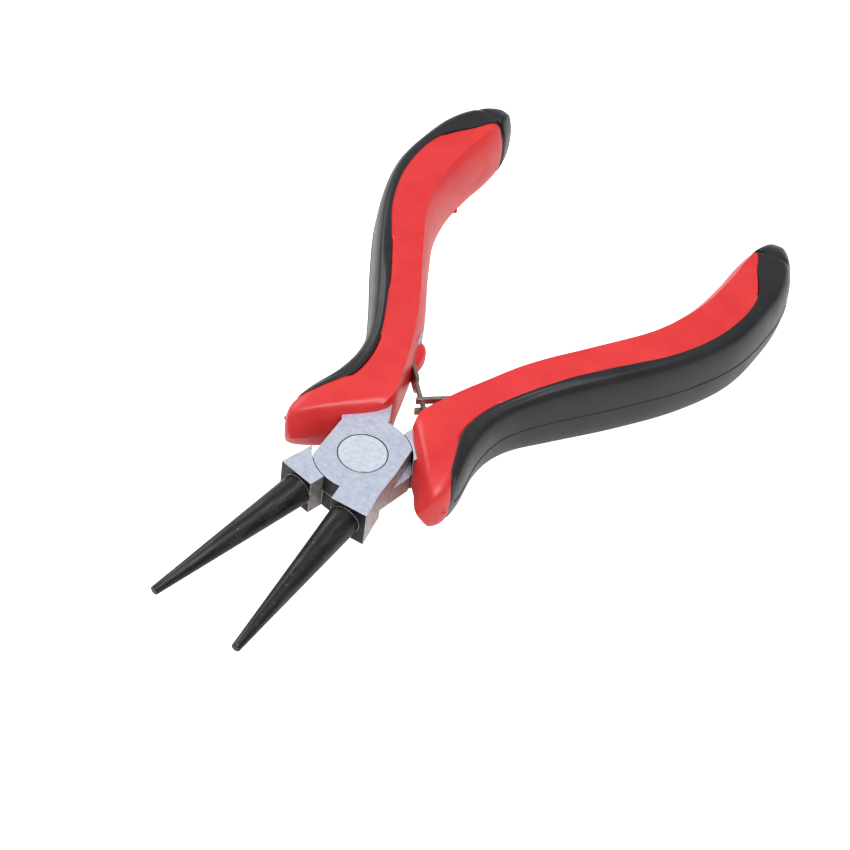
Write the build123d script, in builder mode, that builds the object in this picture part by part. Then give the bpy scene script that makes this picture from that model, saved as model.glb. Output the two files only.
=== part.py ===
from build123d import *
from math import cos, radians, sin, tan
import os

os.makedirs("parts", exist_ok=True)

# Round nose pliers, open, lying flat. Origin on the pivot axis, at the underside of the head.
# Jaws point to -Y, handles to +Y. The upper half has the right jaw and the left handle.

# Head
head_thickness = 7.0
mid_z = head_thickness / 2
plate_radius = 8.0
plate_lap = 1.0           # the full-height steel runs this far under the plate's rim
lap_gap = 0.03            # each plate stops this far short of the mid-plane
shoulder_gap = 0.15       # radial gap between a plate and the other half's shoulders
sweep_gap = 0.3           # and between a plate and the other half's grip
flat_front = (5.8, -5.4)  # ends of the flat on a plate's free side
flat_back = (7.1, 4.0)
waist = [(8.5, -9.9), (7.2, -4.75), (6.6, 0.0), (5.4, 6.0)]  # head's outer edge, front to back
plate_front = (-5.0, -10.0)               # corners past the plate's round edge,
plate_back = [(-6.0, 9.0), (5.0, 9.0)]    # which the circle cuts away

# Jaws
jaw_angle = 6.3           # each cone's axis from the centre line, as open
jaw_base = (4.7, -10.35)  # centre of a cone's big end
jaw_length = 30.4
jaw_base_radius = 2.7
jaw_tip_radius = 0.75
tip_round = 0.15
notch_angle = 11.4        # each side wall of the throat notch from the centre line
notch_mouth = 10.6        # how far out the walls end, from the pivot
notch_root = 6.0          # and where they start, under the plate

# Pivot rivet
rivet_face_radius = 4.1
rivet_shank_radius = 3.0
rivet_rim = 0.6           # straight part of each peened head
rivet_cone = 1.1          # countersunk part of each peened head
rivet_fit = 0.02          # in the lower half, which holds it
running_fit = 0.06        # in the upper half, which turns on it

# Handles: they lean a little to the left of the jaws' centre line
handle_lean = 2.3
handle_growth = {-1: -0.012, 1: 0.011}  # right handle a little longer than the left, by the end cap
growth_start = 10.0
growth_length = 75.0
tang_root = {-1: 0.7, 1: 2.8}  # how far from the centre line each tang leaves the head
tang_inner = [(16.0, 4.7), (21.5, 6.9), (27.5, 7.3), (34.0, 12.4), (44.0, 18.9), (54.0, 24.3)]
tang_outer = [(62.0, 30.0), (54.0, 28.4), (44.0, 23.4), (34.0, 16.8), (25.0, 11.6), (17.0, 9.9)]
tang_shoulder = (10.0, 10.2)
tang_heart = [(3.0, 2.0), (2.0, 5.0)]  # inside the plate

# Grips, across the handle: inner point, outer point (y, distance from the centre line),
# half height, and how far the flat top stops short of the inner and the outer side
grip_sections = [
    ((-1.2, 11.4), (-0.7, 14.6), 3.4, 0.8, 1.2),
    ((1.4, 9.3), (1.3, 15.7), 4.6, 0.9, 2.4),
    ((4.4, 6.3), (5.8, 15.5), 5.2, 0.9, 3.0),
    ((10.7, 2.35), (12.2, 14.1), 5.4, 0.6, 2.9),
    ((17.4, 4.0), (17.8, 14.0), 5.7, 0.6, 2.6),
    ((24.6, 6.4), (22.9, 15.6), 6.1, 1.2, 2.7),
    ((32.0, 9.7), (29.2, 19.4), 6.8, 1.5, 2.8),
    ((42.6, 16.2), (39.0, 26.0), 7.2, 1.6, 2.9),
    ((52.6, 21.6), (49.4, 32.2), 7.2, 2.0, 3.0),
    ((61.5, 24.2), (60.2, 36.2), 7.2, 2.2, 3.2),
    ((70.0, 24.9), (71.2, 36.7), 7.2, 2.2, 3.6),
    ((79.2, 24.9), (81.2, 34.4), 6.9, 2.0, 3.8),
    ((85.8, 26.4), (87.2, 31.0), 5.2, 1.6, 2.2),
]
grip_flat = 7.0           # half height of the flat top and underside
side_bow = 0.72           # how boxy the outer side is
outer_ease = 0.25         # share of the outer step where its curve starts to fall
inner_bow = (0.3, 0.6)    # shares of the half height that shape the inner side's curve
guard_crease = [(11.2, 2.4), (3.7, 9.6)]  # line across the top where the guard's front falls away
guard_height = 5.2        # half height at that line
guard_slope = 55.0
guard_reach = 8.0         # how far the slope runs forward
guard_over = 9.0          # half height of the cut above it
colour_line = [
    (1.6, 17.0), (3.8, 14.4), (7.2, 12.8), (12.0, 10.9), (16.0, 10.8), (20.5, 11.8),
    (26.3, 14.6), (34.2, 19.3), (41.4, 24.1), (49.2, 29.3), (58.7, 32.9), (69.0, 33.4),
    (76.3, 29.6), (80.5, 26.6), (80.0, 19.0),
]
black_outside = [(110.0, 19.0), (110.0, 60.0), (2.0, 60.0)]  # well outside the grip

# Leaf springs: a strip on edge, rolled into an eye round a pin in the tang
spring_root = (25.2, 8.2)
spring_meet = 17.6        # where the two leaves cross, on the centre line
spring_past = 1.3         # how far a leaf runs on past the crossing
leaf_height = 3.8
leaf_thickness = 0.6
eye_radius = 1.3
pin_radius = 0.6
pin_fit = 0.05
prong_height = 1.2        # each prong of the right leaf's fork
tongue_gap = 0.2
tongue_length = 6.0
closing_sweep = 19.0      # a leaf turns this far towards its handle as the handles close
opening_sweep = 3.0
pocket_gap = 0.3
pocket_height = 5.4
lobe_size = (3.4, 2.7)    # lips round the slot: half length, half width
lobe_height = 5.0
lobe_place = (25.4, 7.7)

# Moulding marks
nub_radius = 0.5
nub_place = (0.9, 15.6)

beyond = 20.0             # a size that reaches past the head or a grip's section
long_beyond = 300.0       # and one that reaches past the whole tool


def on_handle(y, out, side):
    """A plan point on the left (side -1) or right (side 1) handle."""
    lean = radians(handle_lean)
    grown = 1 + handle_growth[side] * max(0, y - growth_start) / growth_length
    x = side * out * grown
    y = y * grown
    return (x * cos(lean) - y * sin(lean), x * sin(lean) + y * cos(lean))


def head_points(points, side):
    return [(side * x, y) for x, y in points]


def steel_half(jaw, low, high, other_low, other_high):
    """A jaw on side `jaw`, its plate from low to high, and the tang on the opposite side."""
    handle = -jaw
    axis = radians(jaw_angle)
    notch = radians(notch_angle)
    across = Vector(jaw * cos(axis), sin(axis))
    base = Vector(jaw * jaw_base[0], jaw_base[1])
    front = Plane(
        origin=(base.X, base.Y, mid_z),
        x_dir=(across.X, across.Y, 0),
        z_dir=(jaw * sin(axis), -cos(axis), 0),
    )
    inner_front = base - across * ((jaw_base[0] - notch_mouth * sin(notch)) / cos(axis))
    outer_front = base + across * ((waist[0][0] - jaw_base[0]) / cos(axis))
    tang = [tang_heart[0], (plate_radius + sweep_gap, tang_root[handle])] + tang_inner
    tang += tang_outer + [tang_shoulder, (flat_back[1], flat_back[0]), tang_heart[1]]

    with BuildPart() as half:
        with BuildSketch(Plane.XY.offset(low)):
            Circle(plate_radius)
            bar = [(-flat_front[0], flat_front[1]), (-flat_back[0], flat_back[1])]
            bar += plate_back + waist[::-1] + [plate_front]
            with BuildLine():
                Polyline(head_points(bar, jaw), close=True)
            make_face(mode=Mode.INTERSECT)
        extrude(amount=high - low)
        with BuildSketch():
            with BuildLine():
                Polyline(
                    (inner_front.X, inner_front.Y),
                    (outer_front.X, outer_front.Y),
                    *head_points(waist[1:3], jaw),
                    (jaw * notch_root * sin(notch), -notch_root * cos(notch)),
                    close=True,
                )
            make_face()
            with BuildLine():
                Polyline([on_handle(y, out, handle) for y, out in tang], close=True)
            make_face()
            Circle(plate_radius - plate_lap, mode=Mode.SUBTRACT)
        extrude(amount=head_thickness)
        with BuildSketch(Plane.XY.offset(other_low)):
            Circle(plate_radius + shoulder_gap)
        extrude(amount=other_high - other_low, mode=Mode.SUBTRACT)
        with Locations(front):
            Cone(
                jaw_base_radius,
                jaw_tip_radius,
                jaw_length,
                align=(Align.CENTER, Align.CENTER, Align.MIN),
            )
        tip = half.faces().sort_by(Axis.Y)[0]
        fillet(tip.edges(), tip_round)
    return half.part


def spring_pocket(side, tip_room):
    """The round seat of the eye and the fan that the leaf swings through, as deep at its end
    as the other leaf's tip needs."""
    meet = Vector(spring_meet, 0)
    root = Vector(*spring_root)
    reach = (meet - root).length + spring_past + 2 * pocket_gap
    half_slot = leaf_thickness / 2 + pocket_gap
    along = (meet - root).normalized()
    opened = along.rotate(Axis.Z, opening_sweep)
    closed = along.rotate(Axis.Z, -closing_sweep)
    left_edge = opened.rotate(Axis.Z, 90) * half_slot
    outward = closed.rotate(Axis.Z, -90)
    fan = [root + left_edge, root + left_edge + opened * reach]
    fan += [root + closed * reach + outward * (half_slot + tip_room), root + outward * half_slot]
    with BuildPart() as pocket:
        with BuildSketch(Plane.XY.offset(mid_z - pocket_height / 2)):
            with BuildLine():
                Polyline([on_handle(p.X, p.Y, side) for p in fan], close=True)
            make_face()
            with Locations(on_handle(*spring_root, side)):
                Circle(eye_radius + pocket_gap)
        extrude(amount=pocket_height)
    return pocket.part


def spring_pin(side, radius):
    with BuildPart() as pin:
        with Locations((*on_handle(*spring_root, side), mid_z)):
            Cylinder(radius, head_thickness)
    return pin.part


def rivet_shape(gap):
    """Shank with a flush countersunk head at each end, grown by gap."""
    face = rivet_face_radius + gap
    shank = rivet_shank_radius + gap
    cone_end = rivet_rim + rivet_cone
    with BuildPart() as shape:
        with BuildSketch(Plane.XZ):
            with BuildLine():
                Polyline(
                    (0, 0),
                    (face, 0),
                    (face, rivet_rim),
                    (shank, cone_end),
                    (shank, head_thickness - cone_end),
                    (face, head_thickness - rivet_rim),
                    (face, head_thickness),
                    (0, head_thickness),
                    close=True,
                )
            make_face()
        revolve(axis=Axis.Z)
    return shape.part


# Pivot rivet
with BuildPart() as pivot_rivet:
    add(rivet_shape(0))

# Upper half: right jaw, top plate, left tang
with BuildPart() as upper_half:
    add(steel_half(1, mid_z + lap_gap, head_thickness, 0, mid_z + lap_gap))
    add(rivet_shape(running_fit), mode=Mode.SUBTRACT)
    add(spring_pocket(-1, 0), mode=Mode.SUBTRACT)
    add(spring_pin(-1, pin_radius + rivet_fit), mode=Mode.SUBTRACT)

# Lower half: left jaw, bottom plate, right tang
with BuildPart() as lower_half:
    add(steel_half(-1, 0, mid_z - lap_gap, mid_z - lap_gap, head_thickness))
    add(rivet_shape(rivet_fit), mode=Mode.SUBTRACT)
    add(spring_pocket(1, 0), mode=Mode.SUBTRACT)
    add(spring_pin(1, pin_radius + rivet_fit), mode=Mode.SUBTRACT)


def grip_body(side):
    """Barrel-sided grip, lofted through its sections from the guard to the end cap."""
    lower_bow, upper_bow = inner_bow
    with BuildPart() as body:
        for inner, outer, high, in_step, out_step in grip_sections:
            start = Vector(*on_handle(*inner, side))
            end = Vector(*on_handle(*outer, side))
            middle = (start + end) / 2
            across = (end - start).normalized()
            w = (end - start).length / 2
            top_in = in_step - w
            top_out = w - out_step
            ease = w - out_step * outer_ease
            section = Plane(
                origin=(middle.X, middle.Y, mid_z),
                x_dir=(across.X, across.Y, 0),
                z_dir=Vector(across.X, across.Y, 0).cross(Vector(0, 0, 1)),
            )
            with BuildSketch(section):
                with BuildLine():
                    Line((top_in, high), (top_out, high))
                    Bezier((top_out, high), (ease, high), (w, high * side_bow), (w, 0))
                    Bezier((w, 0), (w, -high * side_bow), (ease, -high), (top_out, -high))
                    Line((top_out, -high), (top_in, -high))
                    Bezier((top_in, -high), (-w, -high * upper_bow), (-w, -high * lower_bow), (-w, 0))
                    Bezier((-w, 0), (-w, high * lower_bow), (-w, high * upper_bow), (top_in, high))
                make_face()
        loft()
        with BuildSketch(Plane.XY.offset(mid_z - grip_flat)):
            Rectangle(long_beyond, long_beyond)
        extrude(amount=2 * grip_flat, mode=Mode.INTERSECT)
        crease_start, crease_end = [Vector(*on_handle(*point, side)) for point in guard_crease]
        crease = (crease_end - crease_start).normalized()
        forward = crease.rotate(Axis.Z, -90 * side)
        guard = Plane(
            origin=(crease_start.X, crease_start.Y, mid_z),
            x_dir=(forward.X, forward.Y, 0),
            z_dir=forward.cross(Vector(0, 0, 1)),
        )
        drop = guard_reach * tan(radians(guard_slope))
        with BuildSketch(guard):
            for face in (1, -1):
                with BuildLine():
                    Polyline(
                        (0, face * guard_height),
                        (guard_reach, face * (guard_height - drop)),
                        (guard_reach, face * guard_over),
                        (0, face * guard_over),
                        close=True,
                    )
                make_face()
        extrude(amount=beyond, both=True, mode=Mode.SUBTRACT)
    return body.part


def black_region(side):
    """Everything outside the colour line: the outer band and the end cap."""
    line = [on_handle(y, out, side) for y, out in colour_line]
    far = [on_handle(y, out, side) for y, out in black_outside]
    with BuildPart() as region:
        with BuildSketch(Plane.XY.offset(mid_z)):
            with BuildLine():
                Spline(line)
                Polyline(line[-1], *far, line[0])
            make_face()
        extrude(amount=beyond, both=True)
    return region.part


def grip_core(side, body, steel, sweep_low, sweep_high):
    """Inner part of a grip, with the tang's socket and the spring's slot."""
    with BuildPart() as core:
        add(body)
        add(black_region(side), mode=Mode.SUBTRACT)
        with BuildSketch(Plane.XY.offset(mid_z - lobe_height / 2)):
            with Locations(Location((*on_handle(*lobe_place, side), 0), (0, 0, 90 + handle_lean))):
                Ellipse(*lobe_size)
        extrude(amount=lobe_height)
        with Locations((*on_handle(*nub_place, side), mid_z)):
            Sphere(nub_radius)
        add(steel, mode=Mode.SUBTRACT)
        add(spring_pin(side, pin_radius), mode=Mode.SUBTRACT)
        add(spring_pocket(side, spring_past + pocket_gap), mode=Mode.SUBTRACT)
        with BuildSketch(Plane.XY.offset(sweep_low)):
            Circle(plate_radius + sweep_gap)
        extrude(amount=sweep_high - sweep_low, mode=Mode.SUBTRACT)
    return core.part


def grip_cover(side, body, steel):
    """Outer band and end cap of a grip."""
    with BuildPart() as cover:
        add(body)
        add(black_region(side), mode=Mode.INTERSECT)
        add(steel, mode=Mode.SUBTRACT)
    return cover.part


def leaf_spring(side, forked):
    """Strip on edge with an eye at its root: one leaf ends in a tongue, the other in a fork."""
    root = Vector(*on_handle(*spring_root, side))
    meet = Vector(*on_handle(spring_meet, 0, side))
    along = (meet - root).normalized()
    length = (meet - root).length + spring_past
    strip = Plane(
        origin=(root.X, root.Y, mid_z),
        x_dir=(along.X, along.Y, 0),
        z_dir=along.rotate(Axis.Z, 90),
    )
    slot_height = leaf_height - 2 * prong_height
    tongue_height = slot_height - 2 * tongue_gap
    end_centre = (length - tongue_length / 2, 0)
    with BuildPart() as leaf:
        with BuildSketch(strip):
            with Locations((length / 2, 0)):
                Rectangle(length, leaf_height)
            if forked:
                with Locations(end_centre):
                    Rectangle(tongue_length, slot_height, mode=Mode.SUBTRACT)
            else:
                with Locations(end_centre):
                    Rectangle(tongue_length, leaf_height, mode=Mode.SUBTRACT)
                    Rectangle(tongue_length, tongue_height)
        extrude(amount=leaf_thickness / 2, both=True)
        with Locations((root.X, root.Y, mid_z)):
            Cylinder(eye_radius, leaf_height)
            Cylinder(pin_radius + pin_fit, leaf_height, mode=Mode.SUBTRACT)
    return leaf.part


# Grip of the left handle, on the upper half: it clears the bottom plate as the halves turn
left_body = grip_body(-1)
with BuildPart() as left_grip_core:
    add(grip_core(-1, left_body, upper_half.part, -beyond, mid_z + lap_gap))

with BuildPart() as left_grip_cover:
    add(grip_cover(-1, left_body, upper_half.part))

# Grip of the right handle, on the lower half: it clears the top plate
right_body = grip_body(1)
with BuildPart() as right_grip_core:
    add(grip_core(1, right_body, lower_half.part, mid_z - lap_gap, head_thickness + beyond))

with BuildPart() as right_grip_cover:
    add(grip_cover(1, right_body, lower_half.part))

# Leaf springs and their pins
with BuildPart() as left_spring:
    add(leaf_spring(-1, False))

with BuildPart() as right_spring:
    add(leaf_spring(1, True))

with BuildPart() as left_spring_pin:
    add(spring_pin(-1, pin_radius))

with BuildPart() as right_spring_pin:
    add(spring_pin(1, pin_radius))

pieces = {
    "upper_half": upper_half,
    "lower_half": lower_half,
    "pivot_rivet": pivot_rivet,
    "left_grip_core": left_grip_core,
    "left_grip_cover": left_grip_cover,
    "right_grip_core": right_grip_core,
    "right_grip_cover": right_grip_cover,
    "left_spring": left_spring,
    "right_spring": right_spring,
    "left_spring_pin": left_spring_pin,
    "right_spring_pin": right_spring_pin,
}
for name, piece in pieces.items():
    piece.part.label = name
    export_step(piece.part, f"parts/{name}.step")
    print(name, "volume", round(piece.part.volume, 1), "mm3")
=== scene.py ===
import math

import bmesh
import bpy
from mathutils import Matrix, Vector, noise


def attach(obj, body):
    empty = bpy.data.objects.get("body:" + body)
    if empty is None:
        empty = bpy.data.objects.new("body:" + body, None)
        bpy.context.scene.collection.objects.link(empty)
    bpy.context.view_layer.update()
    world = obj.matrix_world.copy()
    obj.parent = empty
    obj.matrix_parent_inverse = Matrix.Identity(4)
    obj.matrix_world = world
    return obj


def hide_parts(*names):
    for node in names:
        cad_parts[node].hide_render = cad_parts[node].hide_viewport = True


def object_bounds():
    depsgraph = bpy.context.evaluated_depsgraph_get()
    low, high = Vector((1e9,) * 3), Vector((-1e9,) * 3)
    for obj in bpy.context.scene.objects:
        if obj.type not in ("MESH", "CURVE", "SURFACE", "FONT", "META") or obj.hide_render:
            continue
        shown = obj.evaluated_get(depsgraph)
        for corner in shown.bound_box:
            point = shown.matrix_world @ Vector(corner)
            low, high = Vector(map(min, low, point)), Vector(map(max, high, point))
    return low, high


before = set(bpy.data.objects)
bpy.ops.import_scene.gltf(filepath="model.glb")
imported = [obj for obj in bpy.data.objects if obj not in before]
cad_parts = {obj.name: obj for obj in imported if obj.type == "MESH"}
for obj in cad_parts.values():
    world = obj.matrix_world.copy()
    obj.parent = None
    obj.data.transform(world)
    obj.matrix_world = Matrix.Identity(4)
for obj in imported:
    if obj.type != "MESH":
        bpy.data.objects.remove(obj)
cadBox = [list(corner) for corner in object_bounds()]
mm = 0.001
midZ = 3.5 * mm  # mid-plane of the head, the jaws and both grips
print("frame loaded:", len(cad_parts), "nodes")


# shader helpers and shared effects

def addNode(tree, kind, sockets=None, **settings):
    node = tree.nodes.new(kind)
    for key, value in settings.items():
        setattr(node, key, value)
    for key, value in (sockets or {}).items():
        node.inputs[key].default_value = value
    return node


def makeGroup(name, inputs, outputs):
    tree = bpy.data.node_groups.new(name, "ShaderNodeTree")
    for label, kind, value in inputs:
        socket = tree.interface.new_socket(name=label, in_out="INPUT", socket_type=kind)
        if value is not None:
            socket.default_value = value
    for label, kind in outputs:
        tree.interface.new_socket(name=label, in_out="OUTPUT", socket_type=kind)
    return tree, tree.nodes.new("NodeGroupInput"), tree.nodes.new("NodeGroupOutput")


def blotchGroup():
    # soft patches: 0 in the hollows, 1 on the patches
    tree, given, out = makeGroup(
        "blotches",
        [("Vector", "NodeSocketVector", None), ("Scale", "NodeSocketFloat", 400.0),
         ("Detail", "NodeSocketFloat", 4.0), ("Low", "NodeSocketFloat", 0.35),
         ("High", "NodeSocketFloat", 0.65)],
        [("Mask", "NodeSocketFloat")],
    )
    cloud = addNode(tree, "ShaderNodeTexNoise", {"Roughness": 0.6})
    step = addNode(tree, "ShaderNodeMapRange")
    tree.links.new(given.outputs["Vector"], cloud.inputs["Vector"])
    tree.links.new(given.outputs["Scale"], cloud.inputs["Scale"])
    tree.links.new(given.outputs["Detail"], cloud.inputs["Detail"])
    tree.links.new(cloud.outputs["Fac"], step.inputs["Value"])
    tree.links.new(given.outputs["Low"], step.inputs["From Min"])
    tree.links.new(given.outputs["High"], step.inputs["From Max"])
    tree.links.new(step.outputs["Result"], out.inputs["Mask"])
    return tree


def speckGroup():
    # sparse small specks, such as dust or pits
    tree, given, out = makeGroup(
        "specks",
        [("Vector", "NodeSocketVector", None), ("Scale", "NodeSocketFloat", 900.0),
         ("Size", "NodeSocketFloat", 0.12), ("Share", "NodeSocketFloat", 0.08)],
        [("Mask", "NodeSocketFloat")],
    )
    cells = addNode(tree, "ShaderNodeTexVoronoi", feature="F1")
    near = addNode(tree, "ShaderNodeMath", operation="LESS_THAN")
    pick = addNode(tree, "ShaderNodeSeparateColor")
    some = addNode(tree, "ShaderNodeMath", operation="LESS_THAN")
    both = addNode(tree, "ShaderNodeMath", operation="MULTIPLY")
    tree.links.new(given.outputs["Vector"], cells.inputs["Vector"])
    tree.links.new(given.outputs["Scale"], cells.inputs["Scale"])
    tree.links.new(cells.outputs["Distance"], near.inputs[0])
    tree.links.new(given.outputs["Size"], near.inputs[1])
    tree.links.new(cells.outputs["Color"], pick.inputs["Color"])
    tree.links.new(pick.outputs["Red"], some.inputs[0])
    tree.links.new(given.outputs["Share"], some.inputs[1])
    tree.links.new(near.outputs[0], both.inputs[0])
    tree.links.new(some.outputs[0], both.inputs[1])
    tree.links.new(both.outputs[0], out.inputs["Mask"])
    return tree


def skinGroup():
    # fine moulded or ground skin as a normal
    tree, given, out = makeGroup(
        "skin",
        [("Vector", "NodeSocketVector", None), ("Scale", "NodeSocketFloat", 5000.0),
         ("Strength", "NodeSocketFloat", 0.1), ("Depth", "NodeSocketFloat", 0.00002),
         ("Normal", "NodeSocketVector", None)],
        [("Normal", "NodeSocketVector")],
    )
    grain = addNode(tree, "ShaderNodeTexNoise", {"Detail": 3.0, "Roughness": 0.55})
    bump = addNode(tree, "ShaderNodeBump")
    tree.links.new(given.outputs["Vector"], grain.inputs["Vector"])
    tree.links.new(given.outputs["Scale"], grain.inputs["Scale"])
    tree.links.new(given.outputs["Strength"], bump.inputs["Strength"])
    tree.links.new(given.outputs["Depth"], bump.inputs["Distance"])
    tree.links.new(grain.outputs["Fac"], bump.inputs["Height"])
    tree.links.new(given.outputs["Normal"], bump.inputs["Normal"])
    tree.links.new(bump.outputs["Normal"], out.inputs["Normal"])
    return tree


def edgeGroup():
    # worn edges: the rounded normal, and a mask that is 1 where it leaves the face
    tree, given, out = makeGroup(
        "wornEdges",
        [("Radius", "NodeSocketFloat", 0.0002)],
        [("Mask", "NodeSocketFloat"), ("Normal", "NodeSocketVector")],
    )
    rounded = addNode(tree, "ShaderNodeBevel", samples=6)
    geometry = addNode(tree, "ShaderNodeNewGeometry")
    dot = addNode(tree, "ShaderNodeVectorMath", operation="DOT_PRODUCT")
    turned = addNode(tree, "ShaderNodeMapRange", {"From Min": 0.995, "From Max": 0.85})
    tree.links.new(given.outputs["Radius"], rounded.inputs["Radius"])
    tree.links.new(rounded.outputs["Normal"], dot.inputs[0])
    tree.links.new(geometry.outputs["Normal"], dot.inputs[1])
    tree.links.new(dot.outputs["Value"], turned.inputs["Value"])
    tree.links.new(turned.outputs["Result"], out.inputs["Mask"])
    tree.links.new(rounded.outputs["Normal"], out.inputs["Normal"])
    return tree


blotches, specks, skin, wornEdges = blotchGroup(), speckGroup(), skinGroup(), edgeGroup()


def startMaterial(name):
    material = bpy.data.materials.new(name)
    material.use_nodes = True
    tree = material.node_tree
    shader = tree.nodes["Principled BSDF"]
    place = addNode(tree, "ShaderNodeTexCoord")
    return material, tree, shader, place.outputs["Object"]


def useGroup(tree, group, **sockets):
    node = addNode(tree, "ShaderNodeGroup", node_tree=group)
    for key, value in sockets.items():
        if isinstance(value, bpy.types.NodeSocket):
            tree.links.new(value, node.inputs[key])
        else:
            node.inputs[key].default_value = value
    return node


def mixColors(tree, mask, first, second):
    # the first colour where the mask is 0, the second where it is 1
    mix = addNode(tree, "ShaderNodeMix", data_type="RGBA")
    tree.links.new(mask, mix.inputs[0])
    for value, socket in ((first, mix.inputs[6]), (second, mix.inputs[7])):
        if isinstance(value, bpy.types.NodeSocket):
            tree.links.new(value, socket)
        else:
            socket.default_value = (*value, 1.0)
    return mix.outputs[2]


def spread(tree, mask, low, high):
    ramp = addNode(tree, "ShaderNodeMapRange", {"To Min": low, "To Max": high})
    tree.links.new(mask, ramp.inputs["Value"])
    return ramp.outputs["Result"]


redLook = {
    "deep": (0.70, 0.022, 0.024),
    "light": (0.80, 0.040, 0.042),
    "roughness": (0.34, 0.44),
    "scatter": 0.10,
}


def makeRedPlastic():
    material, tree, shader, place = startMaterial("redPlastic")
    clouds = useGroup(tree, blotches, Vector=place, Scale=130.0, Low=0.3, High=0.7)
    shader.inputs["Roughness"].default_value = 0.4
    tree.links.new(mixColors(tree, clouds.outputs["Mask"], redLook["deep"], redLook["light"]),
                   shader.inputs["Base Color"])
    smears = useGroup(tree, blotches, Vector=place, Scale=420.0, Low=0.3, High=0.75)
    tree.links.new(spread(tree, smears.outputs["Mask"], *redLook["roughness"]), shader.inputs["Roughness"])
    grain = useGroup(tree, skin, Vector=place, Scale=3500.0, Strength=0.25, Depth=0.00001)
    tree.links.new(grain.outputs["Normal"], shader.inputs["Normal"])
    shader.inputs["Subsurface Weight"].default_value = redLook["scatter"]
    shader.inputs["Subsurface Radius"].default_value = (1.0, 0.15, 0.1)
    shader.inputs["Subsurface Scale"].default_value = 0.0008
    shader.inputs["Coat Weight"].default_value = 0.08
    shader.inputs["Coat Roughness"].default_value = 0.25
    return material


blackLook = {
    "deep": (0.010, 0.011, 0.013),
    "light": (0.020, 0.021, 0.024),
    "dust": (0.16, 0.16, 0.17),
    "roughness": (0.30, 0.42),
    "gloss": 0.35,
}


def makeBlackRubber():
    material, tree, shader, place = startMaterial("blackRubber")
    clouds = useGroup(tree, blotches, Vector=place, Scale=160.0, Low=0.3, High=0.7)
    base = mixColors(tree, clouds.outputs["Mask"], blackLook["deep"], blackLook["light"])
    dust = useGroup(tree, specks, Vector=place, Scale=420.0, Size=0.09, Share=0.05)
    base = mixColors(tree, dust.outputs["Mask"], base, blackLook["dust"])
    tree.links.new(base, shader.inputs["Base Color"])
    smears = useGroup(tree, blotches, Vector=place, Scale=300.0, Low=0.3, High=0.75)
    tree.links.new(spread(tree, smears.outputs["Mask"], *blackLook["roughness"]), shader.inputs["Roughness"])
    grain = useGroup(tree, skin, Vector=place, Scale=4500.0, Strength=0.35, Depth=0.00001)
    tree.links.new(grain.outputs["Normal"], shader.inputs["Normal"])
    shader.inputs["Specular IOR Level"].default_value = blackLook["gloss"]
    shader.inputs["Coat Weight"].default_value = 0.15
    shader.inputs["Coat Roughness"].default_value = 0.3
    return material


# ground steel colours: the face colours carry a painted cool sky reflection on the flat tops, the side
# colours a painted warm floor reflection, the front colours a painted dark shade on faces turned forward;
# edge is wear, oxide the cones' own black finish
steelLook = {
    "face": (0.70, 0.76, 0.90),
    "faceSkyReflectionDark": (0.52, 0.57, 0.70),
    "side": (0.50, 0.46, 0.43),
    "sideFloorReflectionDark": (0.30, 0.27, 0.25),
    "front": (0.040, 0.040, 0.044),
    "frontDark": (0.014, 0.014, 0.016),
    "metallic": (0.5, 0.35),  # head, cones
    "edge": (0.85, 0.86, 0.90),
    "oxide": (0.012, 0.012, 0.014),
    "oxideWorn": (0.07, 0.068, 0.065),
}
jawForm = {"angle": 6.3, "base": (4.7, -10.35)}  # each cone's lean from the centre line and its big end, mm


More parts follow.
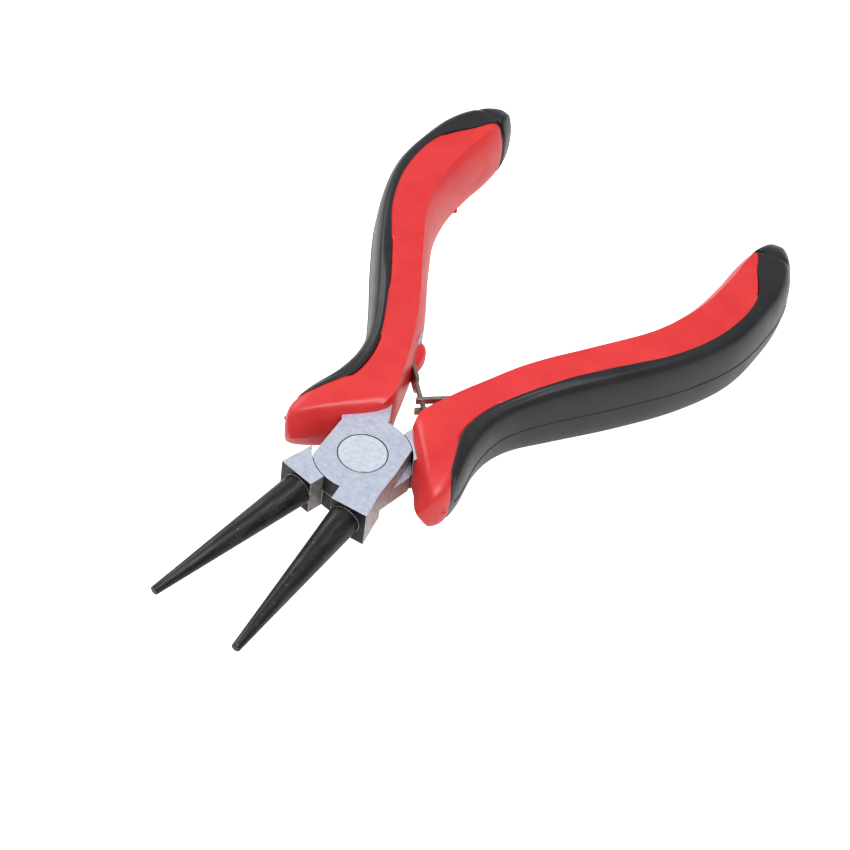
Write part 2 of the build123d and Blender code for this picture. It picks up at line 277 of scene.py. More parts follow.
def makeSteel(name, jaw):
    # ground faces with a painted cool reflection of the sky, darker sides with a painted warm reflection of
    # the floor and painted dark shade where they face forward, and a black oxide cone past the big end on
    # that jaw
    material, tree, shader, place = startMaterial(name)
    edges = useGroup(tree, wornEdges, Radius=0.00016)
    geometry = addNode(tree, "ShaderNodeNewGeometry")
    apart = addNode(tree, "ShaderNodeSeparateXYZ")
    tree.links.new(geometry.outputs["True Normal"], apart.inputs[0])
    upright = addNode(tree, "ShaderNodeMath", operation="ABSOLUTE")
    tree.links.new(apart.outputs["Z"], upright.inputs[0])
    flat = addNode(tree, "ShaderNodeMath", {1: 0.9}, operation="GREATER_THAN")
    tree.links.new(upright.outputs[0], flat.inputs[0])

    clouds = useGroup(tree, blotches, Vector=place, Scale=1100.0, Detail=5.0, Low=0.33, High=0.62)
    stretch = addNode(tree, "ShaderNodeMapping", {"Scale": (1.0, 0.12, 1.0), "Rotation": (0, 0, 0.5)})
    tree.links.new(place, stretch.inputs["Vector"])
    # painted light by face direction: mottled flat tops with painted sky reflection, sides with painted
    # floor reflection, forward faces with painted dark shade
    face = mixColors(tree, clouds.outputs["Mask"], steelLook["faceSkyReflectionDark"], steelLook["face"])
    side = mixColors(tree, clouds.outputs["Mask"], steelLook["sideFloorReflectionDark"], steelLook["side"])
    front = mixColors(tree, clouds.outputs["Mask"], steelLook["frontDark"], steelLook["front"])
    # faces turned forward, towards the camera side, take the painted dark shade
    ahead = addNode(tree, "ShaderNodeMapRange", {"From Min": -0.25, "From Max": -0.6})
    tree.links.new(apart.outputs["Y"], ahead.inputs["Value"])
    side = mixColors(tree, ahead.outputs["Result"], side, front)
    metal = mixColors(tree, flat.outputs[0], side, face)
    metal = mixColors(tree, edges.outputs["Mask"], metal, steelLook["edge"])

    angle = math.radians(jawForm["angle"])
    along = Vector((jaw * math.sin(angle), -math.cos(angle), 0.0))
    start = Vector((jaw * jawForm["base"][0], jawForm["base"][1], 0.0)) * mm
    reach = addNode(tree, "ShaderNodeVectorMath", {1: along}, operation="DOT_PRODUCT")
    tree.links.new(place, reach.inputs[0])
    cone = addNode(tree, "ShaderNodeMath", {1: start.dot(along) + 0.00002}, operation="GREATER_THAN")
    tree.links.new(reach.outputs["Value"], cone.inputs[0])
    wear = useGroup(tree, specks, Vector=place, Scale=1600.0, Size=0.28, Share=0.10)
    rubbed = useGroup(tree, blotches, Vector=stretch.outputs[0], Scale=900.0, Detail=4.0, Low=0.5, High=0.8)
    worn = addNode(tree, "ShaderNodeMath", operation="MAXIMUM")
    tree.links.new(wear.outputs["Mask"], worn.inputs[0])
    tree.links.new(rubbed.outputs["Mask"], worn.inputs[1])
    oxide = mixColors(tree, worn.outputs[0], steelLook["oxide"], steelLook["oxideWorn"])
    tree.links.new(mixColors(tree, cone.outputs[0], metal, oxide), shader.inputs["Base Color"])

    tree.links.new(spread(tree, cone.outputs[0], *steelLook["metallic"]), shader.inputs["Metallic"])
    rough = spread(tree, clouds.outputs["Mask"], 0.42, 0.33)
    tree.links.new(rough, shader.inputs["Roughness"])
    grain = useGroup(tree, skin, Vector=place, Scale=2600.0, Strength=0.5, Depth=0.00002,
                     Normal=edges.outputs["Normal"])
    tree.links.new(grain.outputs["Normal"], shader.inputs["Normal"])
    return material


# rivet colours: high and low are its hammered mottle, ring is a painted dark shade on the rounded rim
rivetLook = {
    "high": (0.84, 0.90, 1.0), "low": (0.60, 0.66, 0.76), "ring": (0.05, 0.05, 0.06),
    "rimShadePlace": (3.85, 4.05),  # mm from the middle, where the painted dark shade on the rounded rim fades in
    "metallic": 0.45,
}


def makeRivetSteel():
    material, tree, shader, place = startMaterial("rivetSteel")
    dents = useGroup(tree, blotches, Vector=place, Scale=1500.0, Detail=6.0, Low=0.36, High=0.6)
    base = mixColors(tree, dents.outputs["Mask"], rivetLook["low"], rivetLook["high"])
    flatPlace = addNode(tree, "ShaderNodeVectorMath", {1: (1.0, 1.0, 0.0)}, operation="MULTIPLY")
    tree.links.new(place, flatPlace.inputs[0])
    distance = addNode(tree, "ShaderNodeVectorMath", operation="LENGTH")
    tree.links.new(flatPlace.outputs[0], distance.inputs[0])
    # painted dark shade ring around the rounded rim
    inner, outer = rivetLook["rimShadePlace"]
    ring = addNode(tree, "ShaderNodeMapRange", {"From Min": inner * mm, "From Max": outer * mm})
    tree.links.new(distance.outputs["Value"], ring.inputs["Value"])
    base = mixColors(tree, ring.outputs["Result"], base, rivetLook["ring"])
    tree.links.new(base, shader.inputs["Base Color"])
    shader.inputs["Metallic"].default_value = rivetLook["metallic"]
    tree.links.new(spread(tree, dents.outputs["Mask"], 0.5, 0.3), shader.inputs["Roughness"])
    grain = useGroup(tree, skin, Vector=place, Scale=1300.0, Strength=0.9, Depth=0.00006)
    tree.links.new(grain.outputs["Normal"], shader.inputs["Normal"])
    return material


springLook = {"bright": (0.50, 0.47, 0.45), "dull": (0.28, 0.25, 0.23)}


def makeSpringSteel():
    material, tree, shader, place = startMaterial("springSteel")
    edges = useGroup(tree, wornEdges, Radius=0.00008)
    clouds = useGroup(tree, blotches, Vector=place, Scale=900.0, Low=0.3, High=0.7)
    base = mixColors(tree, clouds.outputs["Mask"], springLook["dull"], springLook["bright"])
    tree.links.new(base, shader.inputs["Base Color"])
    shader.inputs["Metallic"].default_value = 1.0
    tree.links.new(spread(tree, clouds.outputs["Mask"], 0.42, 0.28), shader.inputs["Roughness"])
    grain = useGroup(tree, skin, Vector=place, Scale=4000.0, Strength=0.4, Depth=0.00001,
                     Normal=edges.outputs["Normal"])
    tree.links.new(grain.outputs["Normal"], shader.inputs["Normal"])
    return material


redPlastic, blackRubber = makeRedPlastic(), makeBlackRubber()
rightJawSteel, leftJawSteel = makeSteel("rightJawSteel", 1), makeSteel("leftJawSteel", -1)
rivetSteel, springSteel = makeRivetSteel(), makeSpringSteel()
print("materials made")


# finished pieces

def finishPiece(piece, body, nodes, material):
    piece.data.materials.clear()
    piece.data.materials.append(material)
    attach(piece, body)
    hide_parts(*nodes)
    return piece


def pieceFromMesh(name, mesh):
    mesh.name = name
    piece = bpy.data.objects.new(name, mesh)
    bpy.context.scene.collection.objects.link(piece)
    return piece


def meshFromBuild(name, build):
    mesh = bpy.data.meshes.new(name)
    build.to_mesh(mesh)
    build.free()
    return mesh


# metal pieces keep their CAD shape, with shared corners and smooth round faces

sharpTurn = 20  # degrees between faces that makes an edge sharp

metalPieces = [
    # name, CAD node, body, slot, material
    ("rightJawHalf", "upper_half", "upper_body", "ground_steel", rightJawSteel),
    ("leftJawHalf", "lower_half", "lower_body", "ground_steel", leftJawSteel),
    ("leftLeaf", "left_spring", "left_leaf", "spring_steel", springSteel),
    ("rightLeaf", "right_spring", "right_leaf", "spring_steel", springSteel),
    ("leftLeafPin", "left_spring_pin", "upper_body", "spring_steel", springSteel),
    ("rightLeafPin", "right_spring_pin", "lower_body", "spring_steel", springSteel),
]


def metalPiece(name, node, body, slotName, material):
    build = bmesh.new()
    build.from_mesh(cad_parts[node].data)
    bmesh.ops.remove_doubles(build, verts=build.verts, dist=0.002 * mm)
    bmesh.ops.dissolve_degenerate(build, edges=build.edges, dist=0.001 * mm)
    bmesh.ops.dissolve_limit(build, angle_limit=math.radians(0.4), verts=build.verts, edges=build.edges)
    for face in build.faces:
        face.smooth = True
    for edge in build.edges:
        if len(edge.link_faces) != 2 or edge.calc_face_angle(3.0) > math.radians(sharpTurn):
            edge.smooth = False
    return finishPiece(pieceFromMesh(name, meshFromBuild(name, build)), body, [node], material)


for row in metalPieces:
    metalPiece(*row)


rivetForm = {
    "radius": 4.02, "shank": 2.98, "height": 7.0, "rim": 0.6, "cone": 1.1,
    "round": 0.16, "dent": 0.035, "dentSize": 1.1, "turns": 96, "rings": 16,
}


def rivetPiece(form):
    # half profile from the middle of one face to the mid-plane, mirrored to the other face
    half = form["height"] / 2
    face = [(form["radius"] * (k / form["rings"]) * 0.96, half) for k in range(form["rings"] + 1)]
    edge = [(form["radius"] - form["round"] * (1 - math.sin(a)), half - form["round"] * (1 - math.cos(a)))
            for a in [math.radians(15 * k) for k in range(1, 7)]]
    down = [(form["radius"], half - form["rim"]), (form["shank"], half - form["rim"] - form["cone"])]
    profile = face + edge + down
    profile += [(r, -z) for r, z in reversed(profile)]
    build = bmesh.new()
    rings = []
    for r, z in profile:
        ring = []
        for k in range(form["turns"]):
            a = 2 * math.pi * k / form["turns"]
            x, y = r * math.cos(a), r * math.sin(a)
            inward = form["dent"] * (0.5 + 0.5 * noise.noise(Vector((x, y, z)) / form["dentSize"]))
            height = z - math.copysign(inward, z) if abs(z) > half - 0.01 else z
            ring.append(build.verts.new((x * mm, y * mm, midZ + height * mm)))
        rings.append(ring)
    for lower, upper in zip(rings, rings[1:]):
        for k in range(form["turns"]):
            n = (k + 1) % form["turns"]
            build.faces.new((lower[k], lower[n], upper[n], upper[k]))
    bmesh.ops.remove_doubles(build, verts=build.verts, dist=0.002 * mm)
    bmesh.ops.recalc_face_normals(build, faces=build.faces)
    for item in build.faces:
        item.smooth = True
    mesh = meshFromBuild("pivotRivet", build)
    mesh.set_sharp_from_angle(angle=math.radians(40))
    piece = pieceFromMesh("pivotRivet", mesh)
    return finishPiece(piece, "lower_body", ["pivot_rivet"], rivetSteel)


rivetPiece(rivetForm)
print("metal pieces made")


# grips

gripForm = {
    "lean": 2.3,  # both handles lean a little to the left
    "growth": {-1: -0.012, 1: 0.011},  # the right handle is a little longer, by the end cap
    "growthStart": 10, "growthLength": 75,
    # across the handle: inner point, outer point (y, distance from the centre line),
    # half height, and how far the flat top stops short of the inner and the outer side
    "rows": [
        (-2.3, 12.5, -2.0, 13.6, 1.7, 0.4, 0.6),
        (-1.3, 11.3, -0.9, 14.7, 3.4, 0.7, 1.2),
        (1.4, 9.3, 1.3, 15.7, 4.6, 0.8, 2.4),
        (4.4, 6.3, 5.8, 15.5, 5.2, 0.8, 3.0),
        (10.7, 2.35, 12.2, 14.1, 5.4, 0.5, 2.9),
        (17.4, 4.0, 17.8, 14.0, 5.7, 0.5, 2.6),
        (24.6, 6.4, 22.9, 15.6, 6.1, 1.1, 2.7),
        (32.0, 9.7, 29.2, 19.4, 6.8, 1.5, 2.8),
        (42.6, 16.2, 39.0, 26.0, 7.2, 1.6, 2.9),
        (52.6, 21.6, 49.4, 32.2, 7.2, 2.0, 3.0),
        (61.5, 24.2, 60.2, 36.2, 7.2, 2.2, 3.2),
        (70.0, 24.9, 71.2, 36.7, 7.2, 2.2, 3.6),
        (76.0, 24.8, 77.8, 35.8, 7.1, 2.1, 3.7),
        (81.0, 25.1, 82.8, 33.6, 6.7, 1.9, 3.3),
        (84.6, 26.0, 85.9, 31.4, 5.6, 1.4, 2.3),
        (86.2, 27.1, 87.1, 29.9, 4.2, 0.8, 1.2),
        (86.9, 28.0, 87.3, 29.0, 2.4, 0.3, 0.4),
    ],
    "between": 6,
    "highest": 7.0,
    "innerBow": (0.3, 0.6), "outerEase": 0.25, "sideBow": 0.72,  # shapes of the side curves
    "crease": ((11.2, 2.4), (3.7, 9.6)),  # line across the top where the guard's front falls away
    "creaseReach": 2.25, "creaseBow": 0.6,
    "plateClear": 8.3,
    "redInset": 0.14, "overlap": 0.025,  # the black part laps a little over the red
    "colourLine": [
        (1.6, 17.0), (3.8, 14.4), (7.2, 12.8), (12.0, 10.9), (16.0, 10.8), (20.5, 11.8),
        (26.3, 14.6), (34.2, 19.3), (41.4, 24.1), (49.2, 29.3), (58.7, 32.9), (69.0, 33.4),
        (76.3, 29.6), (80.5, 26.6), (80.0, 19.0),
    ],
    "blackOutside": [(110, 19), (110, 60), (2, 60)],  # well outside the grip
    # rim of the black part: distance from the colour line along the surface, and height above it
    "rim": [(0.0, 0.0), (0.3, 0.12), (0.7, 0.12), (1.05, -0.06), (1.5, 0.0)],
    "rimShrinks": 3.0,  # where the black part is narrower than this, its rim shrinks with it
    "thinnest": {"red": 0.02, "black": 0.25},  # a narrower end of a colour is left off
    "blackSteps": 20,
    "redSteps": (7, 7, 6),
    "creases": (0.75, 1.0),  # along the flat top's inner edge, and where the two colours meet
    "sharpTurn": 38,  # degrees
}


def smoothRows(rows, between):
    # points between the given rows on a smooth curve through them
    filled = []
    for k in range(len(rows) - 1):
        p0, p1, p2, p3 = (rows[max(0, min(len(rows) - 1, k + n))] for n in (-1, 0, 1, 2))
        for step in range(between + 1):
            t = step / (between + 1)
            filled.append(tuple(
                0.5 * (2 * b + (c - a) * t + (2 * a - 5 * b + 4 * c - d) * t * t
                       + (3 * b - a - 3 * c + d) * t ** 3)
                for a, b, c, d in zip(p0, p1, p2, p3)
            ))
    filled.append(tuple(rows[-1]))
    return filled


def bezier(a, b, c, d, t):
    return a * (1 - t) ** 3 + 3 * b * t * (1 - t) ** 2 + 3 * c * t * t * (1 - t) + d * t ** 3


def isInside(point, outline):
    hit = False
    for (y0, x0), (y1, x1) in zip(outline, outline[1:] + outline[:1]):
        if (x0 > point[1]) != (x1 > point[1]):
            if point[0] < (y1 - y0) * (point[1] - x0) / (x1 - x0) + y0:
                hit = not hit
    return hit


def sectionPoint(form, row, s):
    # s runs 0 to 1 up the inner side, 1 to 2 over the flat top, 2 to 3 down the outer side
    innerY, innerOut, outerY, outerOut, high, inStep, outStep = row
    width = math.hypot(outerY - innerY, outerOut - innerOut)
    if s <= 1:
        a = inStep * s ** 3
        z = high * bezier(0, *form["innerBow"], 1, s)
    elif s <= 2:
        a = inStep + (width - outStep - inStep) * (s - 1)
        z = high
    else:
        a = bezier(width - outStep, width - form["outerEase"] * outStep, width, width, s - 2)
        z = high * bezier(1, 1, form["sideBow"], 0, s - 2)
    y = innerY + (outerY - innerY) * a / width
    out = innerOut + (outerOut - innerOut) * a / width
    (y0, out0), (y1, out1) = form["crease"]
    length = math.hypot(y1 - y0, out1 - out0)
    ahead = ((out - out0) * (y1 - y0) - (y - y0) * (out1 - out0)) / length
    if ahead > 0:
        z *= max(0.02, 1 - ahead / form["creaseReach"]) ** form["creaseBow"]
    return y, out, min(z, form["highest"])


def splitPlace(form, row, outline):
    # where the section first meets the black side of the colour line
    steps, halvings = 120, 12
    before = 0.0
    for k in range(steps + 1):
        s = 3 * k / steps
        if isInside(sectionPoint(form, row, s)[:2], outline):
            low, high = before, s
            for halving in range(halvings):
                middle = (low + high) / 2
                if isInside(sectionPoint(form, row, middle)[:2], outline):
                    high = middle
                else:
                    low = middle
            return high
        before = s
    return 3.0


def redHalf(form, row, split):
    points = []
    for part, steps in enumerate(form["redSteps"]):
        stop = min(max(split, part), part + 1)
        for k in range(1 if part else 0, steps + 1):
            s = part + (stop - part) * k / steps
            y, out, z = sectionPoint(form, row, min(s, split))
            points.append((y, out, max(0.0, z - form["redInset"] * min(1, z))))
    return points


def blackHalf(form, row, split):
    # points evenly along the surface, past a small raised rim, and the whole length
    samples = 90
    dense = [sectionPoint(form, row, split + (3 - split) * k / samples) for k in range(samples + 1)]
    lengths = [0.0]
    for first, second in zip(dense, dense[1:]):
        lengths.append(lengths[-1] + math.dist(first, second))
    total = lengths[-1]
    scale = min(1.0, total / form["rimShrinks"])
    wanted = [(d * scale, lift * scale) for d, lift in form["rim"]]
    last = wanted[-1][0]
    steps = form["blackSteps"]
    wanted += [(last + (total - last) * k / steps, 0.0) for k in range(1, steps + 1)]
    points = []
    place = 0
    for d, lift in wanted:
        while place < len(lengths) - 2 and lengths[place + 1] < d:
            place += 1
        gap = lengths[place + 1] - lengths[place]
        t = (d - lengths[place]) / gap if gap > 1e-9 else 0.0
        y, out, z = (a + (b - a) * min(1, t) for a, b in zip(dense[place], dense[place + 1]))
        points.append((y, out, min(z + lift * min(1, z), form["highest"])))
    return points, total


def onHandle(form, y, out, side):
    lean = math.radians(form["lean"])
    grown = 1 + form["growth"][side] * max(0, y - form["growthStart"]) / form["growthLength"]
    x = side * out * grown
    y = y * grown
    return Vector((x * math.cos(lean) - y * math.sin(lean), x * math.sin(lean) + y * math.cos(lean)))


def placePoint(form, point, side, up):
    y, out, z = point
    flat = onHandle(form, y, out, side)
    if flat.length < form["plateClear"]:
        flat = flat.normalized() * form["plateClear"]
    return Vector((flat.x * mm, flat.y * mm, midZ + up * z * mm))


def ringShell(name, rings, creaseAt):
    # closed tube through rings of equal length, with a point at each end
    build = bmesh.new()
    creases = build.edges.layers.float.new("crease_edge")
    loops = [[build.verts.new(point) for point in ring] for ring in rings]
    count = len(rings[0])
    for lower, upper in zip(loops, loops[1:]):
        for k in range(count):
            n = (k + 1) % count
            build.faces.new((lower[k], lower[n], upper[n], upper[k]))
    for loop in (loops[0], loops[-1]):
        middle = sum((v.co for v in loop), Vector()) / count
        tip = build.verts.new(middle)
        for k in range(count):
            build.faces.new((loop[k], loop[(k + 1) % count], tip))
    for lower, upper in zip(loops, loops[1:]):
        for k, weight in creaseAt:
            edge = build.edges.get((lower[k], upper[k]))
            if edge:
                edge[creases] = weight
    bmesh.ops.remove_doubles(build, verts=build.verts, dist=0.004 * mm)
    bmesh.ops.dissolve_degenerate(build, edges=build.edges, dist=0.003 * mm)
    bmesh.ops.recalc_face_normals(build, faces=build.faces)
    for face in build.faces:
        face.smooth = True
    return meshFromBuild(name, build)


def gripMeshes(form, side):
    rows = smoothRows(form["rows"], form["between"])
    line = [(p[0], p[1]) for p in smoothRows(form["colourLine"], 5)]
    outline = line + form["blackOutside"]
    redRings, blackRings = [], []
    for row in rows:
        split = splitPlace(form, row, outline)
        red = redHalf(form, row, split)
        if split > form["thinnest"]["red"]:
            ring = [placePoint(form, p, side, 1) for p in red]
            ring += [placePoint(form, (red[-1][0], red[-1][1], red[-1][2] * part), side, 1)
                     for part in (0.5, 0.0, -0.5)]
            ring += [placePoint(form, p, side, -1) for p in reversed(red[1:])]
            redRings.append(ring)
        black, total = blackHalf(form, row, max(0.0, split - form["overlap"]))
        if total > form["thinnest"]["black"]:
            wall = black[0]
            ring = [placePoint(form, (wall[0], wall[1], wall[2] * part), side, 1) for part in (0.0, 0.5)]
            ring += [placePoint(form, p, side, 1) for p in black]
            ring += [placePoint(form, p, side, -1) for p in reversed(black[:-1])]
            ring += [placePoint(form, (wall[0], wall[1], wall[2] * 0.5), side, -1)]
            blackRings.append(ring)
    inner, top, outer = form["redSteps"]
    count = len(redRings[0])
    last = inner + top + outer
    soft, hard = form["creases"]
    creaseAt = [(inner, soft), (count - inner, soft), (last, hard), (last + 4, hard)]
    red = ringShell("redGrip", redRings, creaseAt)
    black = ringShell("blackGrip", blackRings, [(2, hard), (len(blackRings[0]) - 2, hard)])
    return red, black


springForm = {
    "root": (25.2, 8.2), "meet": (17.6, 0.0), "past": 1.3, "gap": 0.3, "halfSlot": 0.6, "eye": 1.6,
    "opening": 3.0, "closing": 19.0, "pocketHeight": 5.4,
    "eyeSteps": 16,
    "lobePlace": (25.0, 8.0), "lobeSize": (3.6, 2.5, 2.5), "lobeBoxy": 0.6,
}


def lobeObject(form, grip, side):
    build = bmesh.new()
    bmesh.ops.create_icosphere(build, subdivisions=5, radius=1.0)
    centre = onHandle(grip, *form["lobePlace"], side)
    lean = math.radians(grip["lean"])
    long, wide, high = form["lobeSize"]
    for vert in build.verts:
        x, y, z = vert.co
        z = math.copysign(abs(z) ** form["lobeBoxy"], z)
        across, ahead = x * wide, y * long
        vert.co = Vector((
            (centre.x + across * math.cos(lean) - ahead * math.sin(lean)) * mm,
            (centre.y + across * math.sin(lean) + ahead * math.cos(lean)) * mm,
            midZ + z * high * mm,
        ))
    for face in build.faces:
        face.smooth = True
    return pieceFromMesh("lobe", meshFromBuild("lobe", build))


def pocketObject(form, grip, side):
    # slot that the leaf swings through, from its eye outwards
    root, meet = Vector(form["root"]), Vector(form["meet"])
    along = (meet - root).normalized()
    reach = (meet - root).length + form["past"] + form["gap"] * 2
    turn = {"open": math.radians(form["opening"]), "closed": -math.radians(form["closing"])}
    opened, closed = (Matrix.Rotation(turn[k], 2) @ along for k in ("open", "closed"))
    left = Matrix.Rotation(math.pi / 2, 2) @ opened * form["halfSlot"]
    outward = Matrix.Rotation(-math.pi / 2, 2) @ closed
    right = outward * form["halfSlot"]
    outline = [root + left, root + left + opened * reach,
               root + right + closed * reach + outward * (form["past"] + form["gap"]), root + right]
    centreAngle = math.atan2(*right.yx)
    sweep = (math.atan2(*left.yx) - centreAngle) % (2 * math.pi)
    steps = form["eyeSteps"]
    for k in range(1, steps):
        a = centreAngle + sweep * k / steps
        outline.append(root + Vector((math.cos(a), math.sin(a))) * form["eye"])
    build = bmesh.new()
    half = form["pocketHeight"] / 2
    lower, upper = [], []
    for point in outline:
        flat = onHandle(grip, point.x, point.y, side)
        lower.append(build.verts.new((flat.x * mm, flat.y * mm, midZ - half * mm)))
        upper.append(build.verts.new((flat.x * mm, flat.y * mm, midZ + half * mm)))
    build.faces.new(lower)
    build.faces.new(list(reversed(upper)))
    for k in range(len(outline)):
        n = (k + 1) % len(outline)
        build.faces.new((lower[k], upper[k], upper[n], lower[n]))
    bmesh.ops.recalc_face_normals(build, faces=build.faces)
    return pieceFromMesh("pocket", meshFromBuild("pocket", build))


def evaluated(piece):
    graph = bpy.context.evaluated_depsgraph_get()
    mesh = bpy.data.meshes.new_from_object(piece.evaluated_get(graph))
    piece.modifiers.clear()
    piece.data = mesh
    return piece


def combine(piece, other, operation):
    cut = piece.modifiers.new(operation.lower(), "BOOLEAN")
    cut.operation = operation
    cut.solver = "EXACT"
    cut.object = other
    bpy.context.view_layer.update()
    evaluated(piece)
    bpy.data.objects.remove(other)
    return piece


def subdivide(piece, levels):
    smooth = piece.modifiers.new("smooth", "SUBSURF")
    smooth.levels = smooth.render_levels = levels
    bpy.context.view_layer.update()
    return evaluated(piece)


def makeGrip(side):
    word = {-1: "left", 1: "right"}[side]
    body = {-1: "upper_body", 1: "lower_body"}[side]
    red, black = gripMeshes(gripForm, side)
    core = subdivide(pieceFromMesh(word + "GripRed", red), 1)
    cover = subdivide(pieceFromMesh(word + "GripBlack", black), 1)
    combine(core, lobeObject(springForm, gripForm, side), "UNION")
    combine(core, pocketObject(springForm, gripForm, side), "DIFFERENCE")
    for piece in (core, cover):
        piece.data.name = piece.name
        for face in piece.data.polygons:
            face.use_smooth = True
        piece.data.set_sharp_from_angle(angle=math.radians(gripForm["sharpTurn"]))
    finishPiece(core, body, [word + "_grip_core"], redPlastic)
    finishPiece(cover, body, [word + "_grip_cover"], blackRubber)
    print(word, "grip made:", len(core.data.polygons), len(cover.data.polygons), "faces")


for side in (-1, 1):
    makeGrip(side)


# moulding marks, made by geometry nodes: a thin parting line down each cover and red gate nubs

moldForm = {
    "lineRadius": 0.16, "lineStep": 0.8, "lineSides": 8, "sunk": 0.05,  # mm
    "nubRadius": 0.5, "nubDetail": 3,
    "nubs": {-1: [(0.9, 15.55, 0.0), (66.0, 25.5, -4.5)], 1: [(0.9, 15.55, 0.0)]},  # y, out, height
}


def startTree(name, inputs):
    tree = bpy.data.node_groups.new(name, "GeometryNodeTree")
    tree.interface.new_socket(name="Geometry", in_out="INPUT", socket_type="NodeSocketGeometry")
    for label, kind in inputs:
        tree.interface.new_socket(name=label, in_out="INPUT", socket_type=kind)
    tree.interface.new_socket(name="Geometry", in_out="OUTPUT", socket_type="NodeSocketGeometry")
    return tree, tree.nodes.new("NodeGroupInput"), tree.nodes.new("NodeGroupOutput")


def endTree(tree, shape, given, out):
    realize = tree.nodes.new("GeometryNodeRealizeInstances")
    paint = tree.nodes.new("GeometryNodeSetMaterial")
    tree.links.new(shape, realize.inputs["Geometry"])
    tree.links.new(realize.outputs["Geometry"], paint.inputs["Geometry"])
    tree.links.new(given.outputs["Material"], paint.inputs["Material"])
    tree.links.new(paint.outputs["Geometry"], out.inputs["Geometry"])
    return tree


def lineTree():
    # a round bead along a path
    tree, given, out = startTree("partingLine", [
        ("Radius", "NodeSocketFloat"), ("Step", "NodeSocketFloat"), ("Sides", "NodeSocketInt"),
        ("Material", "NodeSocketMaterial"),
    ])
    path = tree.nodes.new("GeometryNodeMeshToCurve")
    even = addNode(tree, "GeometryNodeResampleCurve", mode="LENGTH")
    ring = tree.nodes.new("GeometryNodeCurvePrimitiveCircle")
    bead = addNode(tree, "GeometryNodeCurveToMesh", {"Fill Caps": True})
    tree.links.new(given.outputs["Geometry"], path.inputs["Mesh"])
    tree.links.new(path.outputs["Curve"], even.inputs["Curve"])
    tree.links.new(given.outputs["Step"], even.inputs["Length"])
    tree.links.new(given.outputs["Radius"], ring.inputs["Radius"])
    tree.links.new(given.outputs["Sides"], ring.inputs["Resolution"])
    tree.links.new(even.outputs["Curve"], bead.inputs["Curve"])
    tree.links.new(ring.outputs["Curve"], bead.inputs["Profile Curve"])
    return endTree(tree, bead.outputs["Mesh"], given, out)


def nubTree():
    # a small ball at each point
    tree, given, out = startTree("gateNubs", [
        ("Radius", "NodeSocketFloat"), ("Detail", "NodeSocketInt"), ("Material", "NodeSocketMaterial"),
    ])
    ball = tree.nodes.new("GeometryNodeMeshIcoSphere")
    place = tree.nodes.new("GeometryNodeInstanceOnPoints")
    tree.links.new(given.outputs["Radius"], ball.inputs["Radius"])
    tree.links.new(given.outputs["Detail"], ball.inputs["Subdivisions"])
    tree.links.new(given.outputs["Geometry"], place.inputs["Points"])
    tree.links.new(ball.outputs["Mesh"], place.inputs["Instance"])
    return endTree(tree, place.outputs["Instances"], given, out)


partingLine, gateNubs = lineTree(), nubTree()


def grow(name, points, joined, tree, values):
    # a piece grown on points, or along the path through them, by a geometry nodes tree
    mesh = bpy.data.meshes.new(name)
    edges = [(k, k + 1) for k in range(len(points) - 1)] if joined else []
    mesh.from_pydata(points, edges, [])
    piece = pieceFromMesh(name, mesh)
    grown = piece.modifiers.new("grown", "NODES")
    grown.node_group = tree
    for item in tree.interface.items_tree:
        if item.in_out == "INPUT" and item.name in values:
            grown[item.identifier] = values[item.name]
    bpy.context.view_layer.update()
    evaluated(piece)
    piece.data.name = name
    for face in piece.data.polygons:
        face.use_smooth = True
    return piece


def moldMarks(form, side):
    word = {-1: "left", 1: "right"}[side]
    body = {-1: "upper_body", 1: "lower_body"}[side]
    rows = smoothRows(gripForm["rows"], gripForm["between"])
    first = next(k for k, row in enumerate(rows) if row[2] > 3.0)
    path = [placePoint(gripForm, (row[2], row[3] - form["sunk"], 0.0), side, 1) for row in rows[first:-2]]
    line = grow(word + "PartingLine", path, True, partingLine, {
        "Radius": form["lineRadius"] * mm, "Step": form["lineStep"] * mm, "Sides": form["lineSides"],
        "Material": blackRubber,
    })
    spots = [placePoint(gripForm, spot, side, 1) for spot in form["nubs"][side]]
    nubs = grow(word + "GateNubs", spots, False, gateNubs, {
        "Radius": form["nubRadius"] * mm, "Detail": form["nubDetail"], "Material": redPlastic,
    })
    for piece, slotName in ((line, "black_grip"), (nubs, "red_grip")):
        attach(piece, body)


for side in (-1, 1):
    moldMarks(moldForm, side)
print("moulding marks made")


# studio

studio = {
    "floor": 1.2, "floorColor": (0.93, 0.93, 0.93),  # side in metres
    "floorGap": 0.05,  # mm below the grips
    "sky": {"low": 0.22, "high": 0.55},
    "glow": (0.15, 1.2),  # the floor's own light on the object, and as the camera sees it
    "lights": [
        # name, place, aim, size, watts
        ("overhead", (0.14, -0.06, 0.70), (0, 0.03, 0), 0.45, 3.2),
        ("leftSide", (-0.50, 0.10, 0.35), (0, 0.03, 0), 0.35, 1.0),
    ],
}


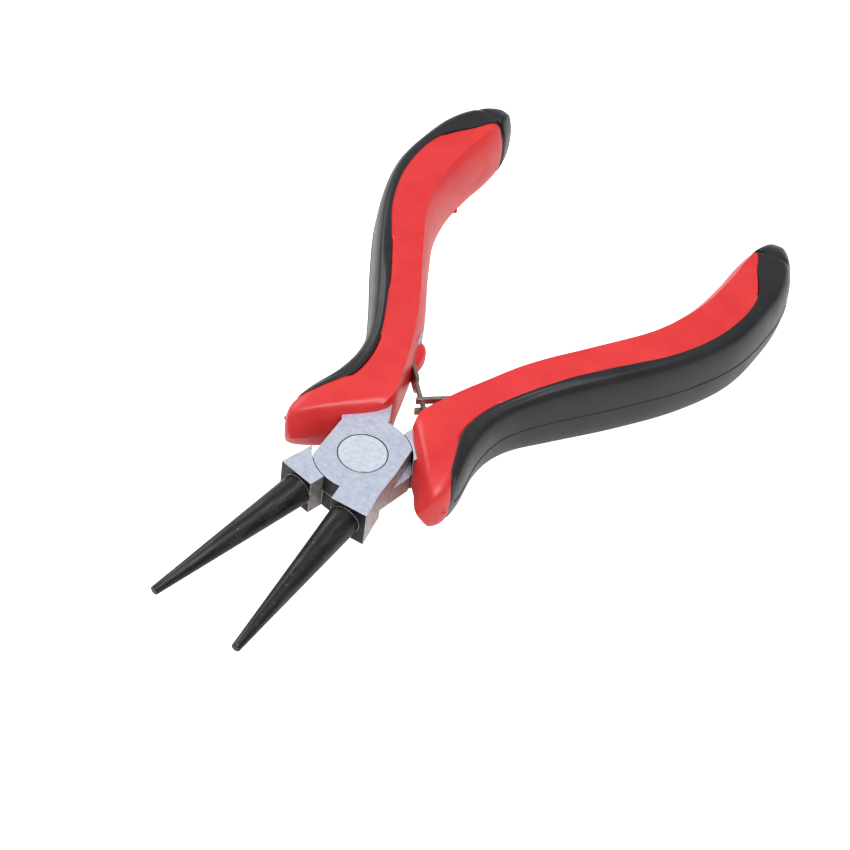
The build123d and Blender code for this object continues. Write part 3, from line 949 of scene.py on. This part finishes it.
def makeStudio():
    build = bmesh.new()
    half = studio["floor"] / 2
    corners = [build.verts.new((x * half, y * half, cadBox[0][2] - studio["floorGap"] * mm))
               for x, y in ((-1, -1), (1, -1), (1, 1), (-1, 1))]
    build.faces.new(corners)
    floor = pieceFromMesh("floor", meshFromBuild("floor", build))
    material, tree, shader, place = startMaterial("floorPaper")
    clouds = useGroup(tree, blotches, Vector=place, Scale=30.0, Low=0.2, High=0.8)
    shade = tuple(c * 0.985 for c in studio["floorColor"])
    paper = mixColors(tree, clouds.outputs["Mask"], shade, studio["floorColor"])
    tree.links.new(paper, shader.inputs["Base Color"])
    shader.inputs["Roughness"].default_value = 0.8
    shader.inputs["Emission Color"].default_value = (1, 1, 1, 1)
    rays = addNode(tree, "ShaderNodeLightPath")
    glow = spread(tree, rays.outputs["Is Camera Ray"], *studio["glow"])
    tree.links.new(glow, shader.inputs["Emission Strength"])
    floor.data.materials.append(material)
    for name, place, aim, size, watts in studio["lights"]:
        lamp = bpy.data.lights.new(name, "AREA")
        lamp.shape = "DISK"
        lamp.size = size
        lamp.energy = watts
        light = bpy.data.objects.new(name, lamp)
        direction = Vector(aim) - Vector(place)
        light.matrix_world = (Matrix.Translation(place)
                              @ direction.to_track_quat("-Z", "Y").to_matrix().to_4x4())
        bpy.context.scene.collection.objects.link(light)
    world = bpy.data.worlds.new("studioSky")
    world.use_nodes = True
    # the sky brightens from the horizon up, and the camera sees it white
    tree = world.node_tree
    sky = tree.nodes["Background"]
    sky.inputs["Color"].default_value = (1, 1, 1, 1)
    place = addNode(tree, "ShaderNodeTexCoord")
    height = addNode(tree, "ShaderNodeSeparateXYZ")
    rays = addNode(tree, "ShaderNodeLightPath")
    seen = addNode(tree, "ShaderNodeMath", operation="MAXIMUM")
    tree.links.new(place.outputs["Generated"], height.inputs[0])
    climb = spread(tree, height.outputs["Z"], studio["sky"]["low"], studio["sky"]["high"])
    tree.links.new(climb, seen.inputs[0])
    tree.links.new(rays.outputs["Is Camera Ray"], seen.inputs[1])
    tree.links.new(seen.outputs[0], sky.inputs["Strength"])
    bpy.context.scene.world = world
    bpy.context.scene.view_settings.view_transform = "Standard"


makeStudio()

cameraView = {
    "aim": (5.631, 8.359, 11.057), "distance": 342.6,  # mm
    "elevation": 47.314, "heading": 30.16, "roll": 9.116,  # degrees
    "lens": 91.11,
}


def makeCamera(view):
    elevation, heading, roll = (math.radians(view[k]) for k in ("elevation", "heading", "roll"))
    forward = Vector((-math.sin(heading) * math.cos(elevation),
                      math.cos(heading) * math.cos(elevation), -math.sin(elevation)))
    right = Vector((math.cos(heading), math.sin(heading), 0))
    up = right.cross(forward)
    right, up = (right * math.cos(roll) + up * math.sin(roll),
                 up * math.cos(roll) - right * math.sin(roll))
    place = Vector(view["aim"]) * mm - forward * view["distance"] * mm
    data = bpy.data.cameras.new("camera")
    data.lens = view["lens"]
    data.sensor_width = 36
    data.clip_start = 0.01
    data.clip_end = 10
    camera = bpy.data.objects.new("camera", data)
    camera.matrix_world = Matrix((
        (right.x, up.x, -forward.x, place.x),
        (right.y, up.y, -forward.y, place.y),
        (right.z, up.z, -forward.z, place.z),
        (0, 0, 0, 1),
    ))
    bpy.context.scene.collection.objects.link(camera)
    bpy.context.scene.camera = camera


makeCamera(cameraView)
print("studio and camera ready")
